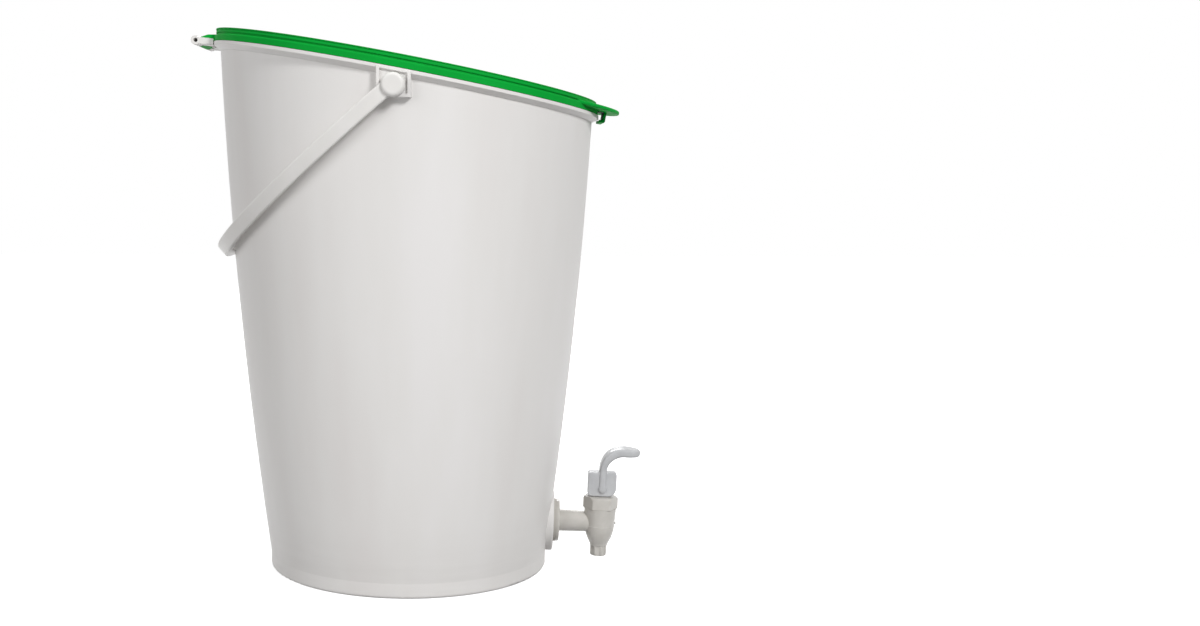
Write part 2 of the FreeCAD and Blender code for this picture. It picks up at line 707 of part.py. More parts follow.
def tap_seat_cup():
    """The soft plug that closes the outlet."""
    disc = post(CUP_R, SEAT_Z, CUP_TOP, TAP_OUT)
    boss = post(CUP_BOSS_R, CUP_TOP - CUP_LAP, CUP_TOP + CUP_BOSS_H, TAP_OUT)
    pocket = post(STEM_FOOT_R, SEAT_Z + CUP_T / 2, CUP_TOP + CUP_BOSS_H + OVER, TAP_OUT)
    return lean(disc.fuse(boss).cut(pocket).removeSplitter())


def tap_spring():
    """The coil that holds the seat cup down, in half turns that each lie in a tilted plane."""
    low = CUP_TOP + SPRING_WIRE_R + SPRING_END_GAP
    high = ROOF_Z - SPRING_WIRE_R - SPRING_END_GAP
    rise = (high - low) / (2 * SPRING_TURNS)
    halves = []
    for i in range(2 * SPRING_TURNS):
        side = 1 - 2 * (i % 2)
        start = vec(side * SPRING_R, 0, low + rise * i)
        centre = vec(0, 0, low + rise * (i + 0.5))
        wire = Part.Wire(Part.makeCircle(SPRING_WIRE_R, start, vec(0, 1, 0)))
        halves.append(Part.Face(wire).revolve(centre, vec(side * rise / 2, 0, SPRING_R), 180))
    spring = halves[0].fuse(halves[1:]).removeSplitter()
    spring.translate(vec(TAP_OUT, 0, 0))
    return lean(spring)


def cam_block():
    """The block whose rounded front corner rolls on the bonnet."""
    low = -PIVOT_UP + CAM_GAP
    cam = block(-CAM_BACK, CAM_FRONT, -CAM_HALF, CAM_HALF, low, low + CAM_H)

    def corner(x, z):
        return lambda e: all(abs(p.x - x) < 0.01 and abs(p.z - z) < 0.01 for p in samples(e))
    cam = rounded(cam, CAM_CORNER, corner(CAM_FRONT, low))
    cam = rounded(cam, CAM_HEEL, corner(-CAM_BACK, low))
    cam = rounded(cam, CAM_TOP_ROUND, corner(CAM_FRONT, low + CAM_H))
    return rounded(cam, CAM_TOP_ROUND, corner(-CAM_BACK, low + CAM_H))


def arm_edge(offset):
    """One edge of the arm's side view: straight up, round the bend and out along the paddle."""
    radius = ARM_BEND_R + offset
    cx, cz = ARM_SHIFT + ARM_BEND_R, ARM_RISE
    droop = math.radians(PADDLE_DROOP)

    def spot(angle):
        return (cx + radius * math.sin(angle), cz + radius * math.cos(angle))
    end = spot(droop)
    tip = (end[0] + PADDLE_LEN * math.cos(droop), end[1] - PADDLE_LEN * math.sin(droop))
    start = (cx - radius, 0)
    bend = arc((cx - radius, cz), spot((droop - math.pi / 2) / 2), end)
    return [line(start, (cx - radius, cz)), bend, line(end, tip)], start, tip


def lever_arm():
    """The band that rises from the pivot and curves outwards into the paddle."""
    above, foot_out, tip_out = arm_edge(ARM_T / 2)
    below, foot_in, tip_in = arm_edge(-ARM_T / 2)
    droop = math.radians(PADDLE_DROOP)
    middle = ((tip_out[0] + tip_in[0]) / 2 + ARM_T / 2 * math.cos(droop),
              (tip_out[1] + tip_in[1]) / 2 - ARM_T / 2 * math.sin(droop))
    edges = above + [arc(tip_out, middle, tip_in)] + below + [line(foot_in, foot_out)]
    wire = Part.Wire(Part.sortEdges(edges)[0])
    band = Part.Face(wire).extrude(vec(0, 2 * PADDLE_HALF, 0))
    band.translate(vec(0, -PADDLE_HALF, 0))
    return band.common(lever_outline())


def lever_outline():
    """How wide the lever may be: narrow at the block, wide and round at the paddle."""
    shoulder, full = ARM_RISE + ARM_T / 4, ARM_RISE + ARM_BEND_R - ARM_T
    side = [(-ARM_HALF, -FAR), (ARM_HALF, -FAR), (ARM_HALF, shoulder), (PADDLE_HALF, full),
            (PADDLE_HALF, FAR), (-PADDLE_HALF, FAR), (-PADDLE_HALF, full),
            (-ARM_HALF, shoulder)]
    corners = [vec(-FAR, y, z) for y, z in side]
    width = Part.Face(Part.makePolygon(corners + corners[:1])).extrude(vec(2 * FAR, 0, 0))
    droop = math.radians(PADDLE_DROOP)
    tip = ARM_SHIFT + ARM_BEND_R * (1 + math.sin(droop)) + PADDLE_LEN * math.cos(droop)
    end = tip + ARM_T / 2 - PADDLE_HALF
    plan = block(-FAR, end, -FAR, FAR, -FAR, FAR).fuse(post(PADDLE_HALF, -FAR, FAR, end))
    return width.common(plan)


def tap_lever():
    arm = lever_arm()
    ball = bar_y(ARM_END_R, -ARM_HALF, ARM_HALF)
    lever = cam_block().fuse([arm, ball])
    slot = block(-CAM_SLOT_BACK, CAM_SLOT_FRONT, -CAM_SLOT_HALF, CAM_SLOT_HALF,
                 -PIVOT_UP - OVER, STEM_TOP + CAM_SLOT_ROOM)
    hole = bar_y(LEVER_PIN_R + STEM_PLAY, -ARM_HALF - OVER, ARM_HALF + OVER)
    lever = lever.cut([slot, hole]).removeSplitter()
    lever.translate(vec(TAP_OUT, 0, PIVOT_UP_Z))
    return lean(lever)


def tap_lever_pin():
    return lean(bar_y(LEVER_PIN_R, -ARM_HALF, ARM_HALF, TAP_OUT, PIVOT_UP_Z))


def tap_outer_washer():
    return lean(bar_x(WASHER_R, 0, WASHER_T).cut(bar_x(THREAD_R + NUT_PLAY, -OVER, WASHER_T + OVER)))


def tap_inner_washer():
    low = -BOSS_T - INNER_WASHER_T
    return lean(bar_x(INNER_WASHER_R, low, -BOSS_T).cut(
        bar_x(THREAD_R + NUT_PLAY, low - OVER, -BOSS_T + OVER)))


def tap_nut():
    """The hexagonal nut that clamps the tap from inside the bucket."""
    end = -BOSS_T - INNER_WASHER_T
    nut = hexagon(NUT_ACROSS, 0, NUT_T)
    nut = nut.cut(post(THREAD_R + NUT_PLAY, -OVER, NUT_T + OVER))
    nut.rotate(vec(0, 0, 0), vec(0, 1, 0), -90)
    nut.rotate(vec(0, 0, 0), vec(1, 0, 0), 90)
    nut.translate(vec(end, 0, 0))
    return lean(nut)


PIECES = {
    "bucket": bucket,
    "lid": lid,
    "handle": handle,
    "strainer_plate": strainer_plate,
    "tap_body": tap_body,
    "tap_bonnet": tap_bonnet,
    "tap_bonnet_seal": tap_bonnet_seal,
    "tap_stem": tap_stem,
    "tap_seat_cup": tap_seat_cup,
    "tap_spring": tap_spring,
    "tap_lever": tap_lever,
    "tap_lever_pin": tap_lever_pin,
    "tap_outer_washer": tap_outer_washer,
    "tap_inner_washer": tap_inner_washer,
    "tap_nut": tap_nut,
}

os.makedirs("parts", exist_ok=True)
for name, make in PIECES.items():
    piece = make()
    piece.exportStep("parts/" + name + ".step")
    box = piece.BoundBox
    print("%-18s solids %d valid %s volume %.0f  x %.1f..%.1f y %.1f..%.1f z %.1f..%.1f" % (
        name, len(piece.Solids), piece.isValid(), piece.Volume,
        box.XMin, box.XMax, box.YMin, box.YMax, box.ZMin, box.ZMax))
pivot = lean(Part.Vertex(vec(TAP_OUT, 0, PIVOT_UP_Z))).Point
print("boss face at x %.3f, boss %.3f thick, lever pivot at x %.4f z %.4f" % (
    BOSS_X, BOSS_T, pivot.x, pivot.z))
print("bail hangs %.2f degrees below level" % rest_angle())
print("hinge at x %.3f z %.3f, rim centre x %.3f radius %.3f" % (HINGE_X, HINGE_Z, RIM_X, RIM_R))
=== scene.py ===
import json
import math

import bpy
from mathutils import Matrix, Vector


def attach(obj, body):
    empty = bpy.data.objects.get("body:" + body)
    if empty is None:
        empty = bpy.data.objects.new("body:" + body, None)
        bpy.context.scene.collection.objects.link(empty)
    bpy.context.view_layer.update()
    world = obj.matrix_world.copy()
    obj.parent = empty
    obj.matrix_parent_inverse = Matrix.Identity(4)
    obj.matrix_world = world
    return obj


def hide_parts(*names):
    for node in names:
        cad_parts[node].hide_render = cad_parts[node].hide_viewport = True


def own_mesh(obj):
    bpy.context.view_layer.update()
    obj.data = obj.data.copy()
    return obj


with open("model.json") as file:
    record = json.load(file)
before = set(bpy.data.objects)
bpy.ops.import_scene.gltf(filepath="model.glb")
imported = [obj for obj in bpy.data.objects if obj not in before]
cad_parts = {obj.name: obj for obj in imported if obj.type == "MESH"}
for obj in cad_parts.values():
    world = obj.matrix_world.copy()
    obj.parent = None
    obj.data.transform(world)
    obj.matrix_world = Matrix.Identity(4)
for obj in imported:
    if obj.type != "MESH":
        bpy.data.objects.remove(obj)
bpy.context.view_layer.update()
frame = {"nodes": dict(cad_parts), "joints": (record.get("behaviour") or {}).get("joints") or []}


# Bucket. One injection moulding in light grey polypropylene, bowed like a barrel stave, with its
# rim cut on a slant. The hinge lugs, the handle's brackets and the tap's seat are moulded with
# it. The lower part of its inside is darker in smears: stains from food and liquid, with painted
# shade that deepens towards the bottom.

def linear(code):
    """A colour written as an sRGB hex value, as the linear numbers that a shader takes."""
    parts = [int(code[i:i + 2], 16) / 255 for i in (1, 3, 5)]
    return [p / 12.92 if p <= 0.04045 else ((p + 0.055) / 1.055) ** 2.4 for p in parts] + [1.0]


def add(tree, kind, settings=None, **links):
    """Adds a node. A link or value goes by its socket's name, with _ for a space, or by an i and
    the socket's number."""
    node = tree.nodes.new(kind)
    for key, value in (settings or {}).items():
        setattr(node, key, value)
    for key, value in links.items():
        socket = node.inputs[int(key[1:]) if key[1:].isdigit() else key.replace("_", " ")]
        if isinstance(value, bpy.types.NodeSocket):
            tree.links.new(value, socket)
        else:
            socket.default_value = value
    return node


def new_material(name):
    """An empty node material and its output node."""
    material = bpy.data.materials.new(name)
    material.use_nodes = True
    material.node_tree.nodes.clear()
    return material, add(material.node_tree, "ShaderNodeOutputMaterial")


def moulded(name, shades, roughness, gloss, grain_mm, depth_mm, edge_mm, cloud_mm, painted_sheen_streak=1.0):
    """Injection-moulded plastic: three close shades in slow clouds, the mould's fine grain in
    gloss and relief, and edges that are a little rounded. Also returns its shader and shade.
    Real grain is about a tenth of a millimetre and too fine to show, so it is drawn coarser."""
    material, output = new_material(name)
    tree = material.node_tree
    place = add(tree, "ShaderNodeTexCoord").outputs["Object"]
    # A stretch other than 1 draws the clouds as upright streaks of painted sheen.
    stretch = add(tree, "ShaderNodeMapping", Vector=place, Scale=(1, 1, painted_sheen_streak)).outputs["Vector"]
    clouds = add(tree, "ShaderNodeTexNoise", Vector=stretch, Scale=1000 / cloud_mm, Detail=3.0)
    ramp = add(tree, "ShaderNodeValToRGB", Fac=clouds.outputs["Fac"])
    ramp.color_ramp.elements.new(0.5)
    for stop, spot, code in zip(ramp.color_ramp.elements, (0.3, 0.5, 0.7), shades):
        stop.position = spot
        stop.color = linear(code)
    grain = add(tree, "ShaderNodeTexNoise", Vector=place, Scale=1000 / grain_mm, Detail=2.0)
    soft_edge = add(tree, "ShaderNodeBevel", {"samples": 4}, Radius=edge_mm / 1000)
    bump = add(tree, "ShaderNodeBump", Strength=0.3, Distance=depth_mm / 1000,
               Height=grain.outputs["Fac"], Normal=soft_edge.outputs["Normal"])
    dull = add(tree, "ShaderNodeMapRange", Value=grain.outputs["Fac"],
               To_Min=roughness - 0.05, To_Max=roughness + 0.05)
    shader = add(tree, "ShaderNodeBsdfPrincipled", Base_Color=ramp.outputs["Color"],
                 Roughness=dull.outputs["Result"], Normal=bump.outputs["Normal"],
                 IOR=1.49, Specular_IOR_Level=gloss)
    tree.links.new(shader.outputs["BSDF"], output.inputs["Surface"])
    return material, shader, ramp.outputs["Color"]


def give(material, *node_names):
    """Puts one material on each of these CAD nodes."""
    for node_name in node_names:
        slots = frame["nodes"][node_name].data.materials
        slots.clear()
        slots.append(material)


# Polypropylene from a spark-eroded mould: no mirror shine, but a soft sheen that runs down the
# curve. Its colour clouds are stretched into faint upright streaks of painted reflection.
grey_polypropylene, bucket_shader, bucket_shade = moulded(
    "grey_polypropylene_moulded", ("#DEDBD9", "#E1DFDD", "#E4E2E1"), roughness=0.46, gloss=0.25,
    grain_mm=1.2, depth_mm=0.04, edge_mm=0.6, cloud_mm=45, painted_sheen_streak=0.15)
tree = grey_polypropylene.node_tree
spots = add(tree, "ShaderNodeTexCoord")
height = add(tree, "ShaderNodeSeparateXYZ", Vector=spots.outputs["Object"]).outputs["Z"]

# The inside is where the surface faces the bucket's own upright axis.
from_axis = add(tree, "ShaderNodeVectorMath", {"operation": "MULTIPLY"},
                i0=spots.outputs["Object"], i1=(1, 1, 0)).outputs["Vector"]
outwards = add(tree, "ShaderNodeVectorMath", {"operation": "DOT_PRODUCT"},
               i0=spots.outputs["Normal"], i1=from_axis).outputs["Value"]
inside = add(tree, "ShaderNodeMath", {"operation": "LESS_THAN"}, i0=outwards, i1=-0.02)

# The stains are smears about 14 mm wide that run up the wall. With painted shade for the bucket's
# depth in them, they are full near the strainer and have faded out, but for a trace, by the
# heights given here in metres.
SMEAR_MM = 14
STAIN_AND_SHADE_FULL = 0.06
STAIN_AND_SHADE_FADED = 0.26
STAIN_AND_SHADE_TRACE = 0.12
smear_place = add(tree, "ShaderNodeMapping", Vector=spots.outputs["Object"],
                  Scale=(1, 1, 0.25)).outputs["Vector"]
smear_noise = add(tree, "ShaderNodeTexNoise", Vector=smear_place, Scale=1000 / SMEAR_MM,
                  Detail=4.0).outputs["Fac"]
smears = add(tree, "ShaderNodeMapRange", Value=smear_noise, From_Min=0.4, From_Max=0.65,
             To_Min=0.35, To_Max=1.0)
# This share is painted shade: the deeper in the bucket, the darker the smears are drawn.
depth = add(tree, "ShaderNodeMapRange", Value=height, From_Min=STAIN_AND_SHADE_FADED,
            From_Max=STAIN_AND_SHADE_FULL, To_Min=STAIN_AND_SHADE_TRACE, To_Max=1.0)
stain_and_shade = add(tree, "ShaderNodeMath", {"operation": "MULTIPLY"}, i0=smears.outputs["Result"],
            i1=depth.outputs["Result"])
stain_and_shade = add(tree, "ShaderNodeMath", {"operation": "MULTIPLY"}, i0=stain_and_shade.outputs["Value"],
            i1=inside.outputs["Value"])
# The stain colour, laid on as stains and as painted shade towards the bottom.
stained_and_shaded = add(tree, "ShaderNodeMix", {"data_type": "RGBA"}, i0=stain_and_shade.outputs["Value"],
              i6=bucket_shade, i7=linear("#BDB9B3"))

# Near the foot the cooling plastic leaves faint level bands, about 5 mm apart. They have faded
# out 50 mm up.
BAND_MM = 5
BANDS_FULL = 0.015
BANDS_FADED = 0.05
BANDS_MOST = 0.22
band_place = add(tree, "ShaderNodeMapping", Vector=spots.outputs["Object"],
                 Scale=(0.12, 0.12, 1)).outputs["Vector"]
band_noise = add(tree, "ShaderNodeTexNoise", Vector=band_place, Scale=1000 / BAND_MM,
                 Detail=2.0).outputs["Fac"]
near_foot = add(tree, "ShaderNodeMapRange", Value=height, From_Min=BANDS_FADED,
                From_Max=BANDS_FULL, To_Min=0.0, To_Max=BANDS_MOST)
banding = add(tree, "ShaderNodeMath", {"operation": "MULTIPLY"}, i0=band_noise,
              i1=near_foot.outputs["Result"])
banded = add(tree, "ShaderNodeMix", {"data_type": "RGBA"}, i0=banding.outputs["Value"],
             i6=stained_and_shaded.outputs[2], i7=linear("#C4C0BC"))
tree.links.new(banded.outputs[2], bucket_shader.inputs["Base Color"])
give(grey_polypropylene, "bucket")


# Lid. A green polypropylene moulding with two beads round its edge and a groove between them.
# Its knuckle snaps between the bucket's lugs, and the hook under its tab clips the collar.

# Well pigmented polypropylene: a deep, even green with a low sheen along the beads.
green_polypropylene, _, _ = moulded(
    "green_polypropylene_moulded", ("#0A9834", "#0B9C36", "#0DA039"), roughness=0.55, gloss=0.03,
    grain_mm=1.2, depth_mm=0.04, edge_mm=0.5, cloud_mm=30)
give(green_polypropylene, "lid")


# Handle. One bail of the same grey polypropylene, a flat strap that is thickest at the grip and
# ends in two round eyes. Its studs snap into the brackets under the collar.

# The strap's mould is smoother than the bucket's, so its flat face has a little more sheen.
bail_polypropylene, _, _ = moulded(
    "bail_polypropylene_moulded", ("#DDDBD9", "#E0DEDB", "#E3E1DF"), roughness=0.4, gloss=0.3,
    grain_mm=1.0, depth_mm=0.03, edge_mm=0.9, cloud_mm=25)
give(bail_polypropylene, "handle")


# Strainer. A flat moulded plate that lies on ribs above the liquid, with rings of round holes
# and an upright fin to lift it out by. It is the same plastic as the bucket, a little dulled.

# Liquid has taken the shine off the plate and left pale grey-brown clouds on it.
plate_polypropylene, _, _ = moulded(
    "plate_polypropylene_dulled", ("#CECBC6", "#D4D1CD", "#DAD8D4"), roughness=0.52, gloss=0.25,
    grain_mm=1.2, depth_mm=0.05, edge_mm=0.3, cloud_mm=22)
give(plate_polypropylene, "strainer_plate")


# Tap. A bought-in dispensing tap: barrel, shank and thread in one moulding, with a screwed
# hexagonal bonnet on top and a nut inside the bucket. Its plastic is a warmer, shinier grey.

# Polished moulds: narrow upright highlights on the barrel and on the bonnet's flats.
tap_polypropylene, _, _ = moulded(
    "tap_polypropylene_polished", ("#BFBBB5", "#C3C0BA", "#C9C5C0"), roughness=0.24, gloss=0.4,
    grain_mm=0.8, depth_mm=0.02, edge_mm=0.6, cloud_mm=9)
give(tap_polypropylene, "tap_body", "tap_bonnet", "tap_nut", "tap_stem")

joints = {joint["name"]: joint for joint in frame["joints"]}
PIVOT = Vector(joints["lever_tilt"]["pos_m"])
TAP_UP = Vector(joints["stem_lift"]["axis"])
TAP_OUT = Vector((TAP_UP.z, 0, -TAP_UP.x))


def on_tap(out, side, up):
    """A place in metres, from millimetres out, aside and up from the lever's pin, along the
    leaning tap."""
    return PIVOT + (TAP_OUT * out + TAP_UP * up) / 1000 + Vector((0, side / 1000, 0))


def lofted(name, rings, body, material, looped=False):
    """A smooth closed skin over rings of points. Looped rings close on the first one, and
    others end in flat caps."""
    count = len(rings[0])
    faces = []
    for i in range(len(rings) if looped else len(rings) - 1):
        here, there = i * count, (i + 1) % len(rings) * count
        faces += [(here + j, here + (j + 1) % count, there + (j + 1) % count, there + j)
                  for j in range(count)]
    caps = []
    if not looped:
        caps = [tuple(range(count))[::-1], tuple(range((len(rings) - 1) * count,
                                                       len(rings) * count))]
    mesh = bpy.data.meshes.new(name)
    mesh.from_pydata([p for ring in rings for p in ring], [], faces + caps)
    for face in mesh.polygons[:len(faces)]:
        face.use_smooth = True
    mesh.validate()
    piece = bpy.data.objects.new(name, mesh)
    bpy.context.scene.collection.objects.link(piece)
    mesh.materials.append(material)
    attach(piece, body)
    return piece


def round_ring(reach, turn, up, radius, sides):
    """A circle of points across a bead or wire that runs round the tap's middle line."""
    ring = []
    for j in range(sides):
        a = 2 * math.pi * j / sides
        far = reach + radius * math.cos(a)
        ring.append(on_tap(far * math.cos(turn), far * math.sin(turn), up + radius * math.sin(a)))
    return ring


# The bead at the barrel's waist is where the two halves of its mould meet.
WAIST_UP = -28.6
WAIST_R = 11.35
BEAD_R = 0.45
BEAD_SIDES = 10
BEAD_STEPS = 96
bead = [round_ring(WAIST_R - BEAD_R, 2 * math.pi * i / BEAD_STEPS, WAIST_UP, BEAD_R, BEAD_SIDES)
        for i in range(BEAD_STEPS)]
lofted("tap_waist_bead", bead, "bucket", tap_polypropylene, looped=True)

# Eight ribs stiffen the nozzle, and stand a little proud of it. They thin out at both ends, and
# are turned by about a third of their spacing.
NOZZLE_RIBS = 8
RIB_TURN = 0.35
RIB_TOP_UP = -43.0
RIB_END_UP = -51.2
RIB_HALF = 0.75
RIB_IN = 4.8
RIB_OUT = 6.3
RIB_SHOULDER = 0.3
RIB_FOOT_RUN = 0.4
RIB_FOOT_DROP = 0.35
RIB_HEAD_RUN = 1.5
RIB_HEAD_DROP = 0.5
for i in range(NOZZLE_RIBS):
    turn = 2 * math.pi * (i + RIB_TURN) / NOZZLE_RIBS
    rib = []
    for up, reach in ((RIB_END_UP, RIB_OUT - RIB_FOOT_DROP), (RIB_END_UP + RIB_FOOT_RUN, RIB_OUT),
                      (RIB_TOP_UP - RIB_HEAD_RUN, RIB_OUT), (RIB_TOP_UP, RIB_OUT - RIB_HEAD_DROP)):
        ring = []
        for far, side in ((RIB_IN, RIB_HALF), (reach - RIB_SHOULDER, RIB_HALF),
                          (reach, RIB_HALF / 2), (reach, -RIB_HALF / 2),
                          (reach - RIB_SHOULDER, -RIB_HALF), (RIB_IN, -RIB_HALF)):
            ring.append(on_tap(far * math.cos(turn) - side * math.sin(turn),
                               far * math.sin(turn) + side * math.cos(turn), up))
        rib.append(ring)
    lofted("tap_nozzle_rib_%d" % (i + 1), rib, "bucket", tap_polypropylene)


# Lever. A block that rolls on the bonnet and a curved arm with a finger paddle, moulded in one
# in a cool grey acetal and held on the stem by a cross pin. The two pieces stand for its node.

# Acetal is hard and smooth, so a soft bright line runs along the top of the arm's bend.
lever_acetal, _, _ = moulded(
    "lever_acetal_polished", ("#B9BABC", "#BEBFC1", "#C3C4C6"), roughness=0.28, gloss=0.2,
    grain_mm=0.8, depth_mm=0.015, edge_mm=0.3, cloud_mm=9)

# The arm starts in a ball round the pin, which is drawn in below and flares at the pin. It bends
# over on an even curve and ends in the paddle. All widths and thicknesses are halves. Its section
# is a rounded oblong, and an ellipse would have a squareness of 2.
BALL_R = 3.6
BALL_DRAW = 1.2
BALL_FLARE = 0.4
ARM_HALF = 2.9
ARM_WIDE = 6.6
ARM_SHIFT = 0.7
ARM_RISE = 13.5
BEND_R = 15.0
DROOP = math.radians(3)
PADDLE_LEN = 11.5
PADDLE_HALF = 3.7
PADDLE_WIDE = 8.5
PADDLE_TIP = 2.9
TIP_TAPER = 11
BEND_LEN = BEND_R * (math.pi / 2 + DROOP)
ARM_LEN = ARM_RISE + BEND_LEN + PADDLE_LEN
SQUARENESS = 3.8
ARM_SIDES = 40

# Shares of the bend by which the arm has the paddle's thickness and width, and its dish starts.
THICK_BY = 0.8
WIDE_BY = 0.6
DISH_FROM = 0.5

# The dish's depth, and how far before the tip it begins to fade and has gone.
DISH = 0.7
DISH_FADE = 6
DISH_END = 1


def along_arm(run):
    """Where the arm's middle line is after this run from the pin, and the way that it heads."""
    if run < ARM_RISE:
        return ARM_SHIFT, run, 0.0
    turn = min(run - ARM_RISE, BEND_LEN) / BEND_R
    out = ARM_SHIFT + BEND_R * (1 - math.cos(turn))
    up = ARM_RISE + BEND_R * math.sin(turn)
    rest = max(run - ARM_RISE - BEND_LEN, 0.0)
    return out + rest * math.sin(turn), up + rest * math.cos(turn), turn


def ease(value, low, high):
    """A smooth step from 0 to 1 between two values."""
    t = min(max((value - low) / (high - low), 0.0), 1.0)
    return t * t * (3 - 2 * t)


def arm_size(run):
    """Half the arm's thickness and half its width after this run. The least values under the
    roots keep the first and the last ring open."""
    half = ARM_HALF
    wide = ARM_WIDE
    if run < BALL_R:
        ball = math.sqrt(max(BALL_R ** 2 - run ** 2, 0.01))
        half = ball if run < 0 else max(ball, ARM_HALF)
        wide = ARM_WIDE + BALL_FLARE * ball / BALL_R
        if run < 0:
            wide -= BALL_DRAW * (1 - ball / BALL_R)
    half += (PADDLE_HALF - ARM_HALF) * ease(run, ARM_RISE, ARM_RISE + BEND_LEN * THICK_BY)
    half -= (PADDLE_HALF - PADDLE_TIP) * ease(run, ARM_LEN - TIP_TAPER, ARM_LEN)
    wide += (PADDLE_WIDE - ARM_WIDE) * ease(run, ARM_RISE - 1, ARM_RISE + BEND_LEN * WIDE_BY)
    left = ARM_LEN - run
    if left < PADDLE_WIDE:
        wide = math.sqrt(max(PADDLE_WIDE ** 2 - (PADDLE_WIDE - left) ** 2, 0.5))
    if left < PADDLE_TIP:
        half *= math.sqrt(max(1 - (1 - left / PADDLE_TIP) ** 2, 0.03))
    return half, wide


def arm_ring(run):
    """The arm's rounded section after this run, with a shallow dish where the finger pushes."""
    out, up, turn = along_arm(run)
    half, wide = arm_size(run)
    dish = DISH * ease(run, ARM_RISE + BEND_LEN * DISH_FROM, ARM_RISE + BEND_LEN)
    dish *= 1 - ease(run, ARM_LEN - DISH_FADE, ARM_LEN - DISH_END)
    ring = []
    for j in range(ARM_SIDES):
        a = 2 * math.pi * j / ARM_SIDES
        c, s = math.cos(a), math.sin(a)
        side = wide * math.copysign(abs(c) ** (2 / SQUARENESS), c)
        lift = half * math.copysign(abs(s) ** (2 / SQUARENESS), s)
        if lift > 0:
            lift -= dish * (1 - (side / wide) ** 2) * lift / half
        ring.append(on_tap(out - lift * math.cos(turn), side, up + lift * math.sin(turn)))
    return ring


# The rings lie half a millimetre apart, and closer round the ball and in the tip's last part.
RING_STEP = 0.5
BALL_RINGS = 8
TIP_RINGS = 10
TIP_ROOM = 2.5
TIP_RUN = 3.2
runs = [-BALL_R * math.cos(math.pi / 2 * i / BALL_RINGS) for i in range(BALL_RINGS)]
runs += [RING_STEP * i for i in range(int((ARM_LEN - TIP_ROOM) / RING_STEP))]
runs += [ARM_LEN - TIP_RUN * math.cos(math.pi / 2 * i / TIP_RINGS)
         for i in range(1, TIP_RINGS + 1)]
runs = sorted(r for r in runs if r <= ARM_LEN)
arm = lofted("lever_arm", [arm_ring(run) for run in runs], "lever", lever_acetal)
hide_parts("tap_lever")

# The block's outline starts at its top corner on the paddle's side, with each corner's radius.
BLOCK_BACK = -10.3
BLOCK_FRONT = 11.0
BLOCK_LOW = -5.9
BLOCK_TOP = 12.4
BLOCK_HALF = 5.0
BLOCK_CORNERS = ((BLOCK_FRONT, BLOCK_TOP, 1.7), (BLOCK_BACK, BLOCK_TOP, 1.7),
                 (BLOCK_BACK, BLOCK_LOW, 2.6), (BLOCK_FRONT, BLOCK_LOW, 6.3))
BLOCK_EDGE = 0.9
EDGE_STEPS = 6
CORNER_STEPS = 9


def block_ring(inset, side):
    """The block's outline with its rounded corners, drawn in by this much."""
    ring = []
    for number, (out, up, radius) in enumerate(BLOCK_CORNERS):
        mid_out = out - math.copysign(radius, out)
        mid_up = up - math.copysign(radius, up)
        for i in range(CORNER_STEPS):
            a = math.pi / 2 * (number + i / (CORNER_STEPS - 1))
            reach = radius - inset
            ring.append(on_tap(mid_out + reach * math.cos(a), side, mid_up + reach * math.sin(a)))
    return ring


steps = [math.pi / 2 * i / EDGE_STEPS for i in range(EDGE_STEPS + 1)]
sections = [(BLOCK_EDGE * (1 - math.sin(a)), -BLOCK_HALF + BLOCK_EDGE * (1 - math.cos(a)))
            for a in steps]
rings = [block_ring(inset, side) for inset, side in sections]
rings += [block_ring(inset, -side) for inset, side in reversed(sections)]
block = lofted("lever_block", rings, "lever", lever_acetal)
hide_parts("tap_lever")

# The slot under the block leaves room for the stem's top as the lever swings. Its ends are given
# out, to the side and up.
SLOT = ((-5.0, 7.6), (-2.95, 2.95), (-7.2, 4.0))
corners = [on_tap(out, side, up) for out in SLOT[0] for side in SLOT[1] for up in SLOT[2]]
cutter_mesh = bpy.data.meshes.new("slot_cutter")
cutter_mesh.from_pydata(corners, [], [(0, 1, 3, 2), (4, 6, 7, 5), (0, 4, 5, 1), (2, 3, 7, 6),
                                      (0, 2, 6, 4), (1, 5, 7, 3)])
cutter = bpy.data.objects.new("slot_cutter", cutter_mesh)
bpy.context.scene.collection.objects.link(cutter)
cut = block.modifiers.new("slot", "BOOLEAN")
cut.operation = "DIFFERENCE"
cut.object = cutter
bpy.context.view_layer.update()
carved = bpy.data.meshes.new_from_object(block.evaluated_get(
    bpy.context.evaluated_depsgraph_get()))
block.modifiers.clear()
block.data = carved
bpy.data.objects.remove(cutter)


# Seals. The bonnet's ring, the seat cup and the two washers are pressed from pale silicone.

# Silicone rubber is matt and slightly cloudy, with the press tool's fine grain.
silicone_rubber, _, _ = moulded(
    "silicone_rubber_pressed", ("#B2AEA8", "#B7B3AD", "#BDBAB4"), roughness=0.6, gloss=0.35,
    grain_mm=0.6, depth_mm=0.03, edge_mm=0.3, cloud_mm=8)
give(silicone_rubber, "tap_bonnet_seal", "tap_seat_cup", "tap_outer_washer", "tap_inner_washer")


# Pin and spring. Both are cut from drawn stainless wire: the pin is straight, and the spring is
# coiled cold. The spring stands round the stem, inside the barrel.

# Drawing leaves fine dull lines on the wire, so its shine is soft and uneven. They are drawn
# coarser than they are, because the real ones are too fine to show.
stainless_wire, output = new_material("stainless_wire_drawn")
tree = stainless_wire.node_tree
place = add(tree, "ShaderNodeTexCoord").outputs["Object"]
DRAW_LINE_MM = 0.8
lines = add(tree, "ShaderNodeTexNoise", Vector=place, Scale=1000 / DRAW_LINE_MM, Detail=2.0)
dull = add(tree, "ShaderNodeMapRange", Value=lines.outputs["Fac"], To_Min=0.2, To_Max=0.36)
tint = add(tree, "ShaderNodeMix", {"data_type": "RGBA"}, i0=lines.outputs["Fac"],
           i6=linear("#BDBDC0"), i7=linear("#CFCFD1"))
steel = add(tree, "ShaderNodeBsdfPrincipled", Base_Color=tint.outputs[2], Metallic=1.0,
            Roughness=dull.outputs["Result"])
tree.links.new(steel.outputs["BSDF"], output.inputs["Surface"])
give(stainless_wire, "tap_lever_pin", "tap_spring")
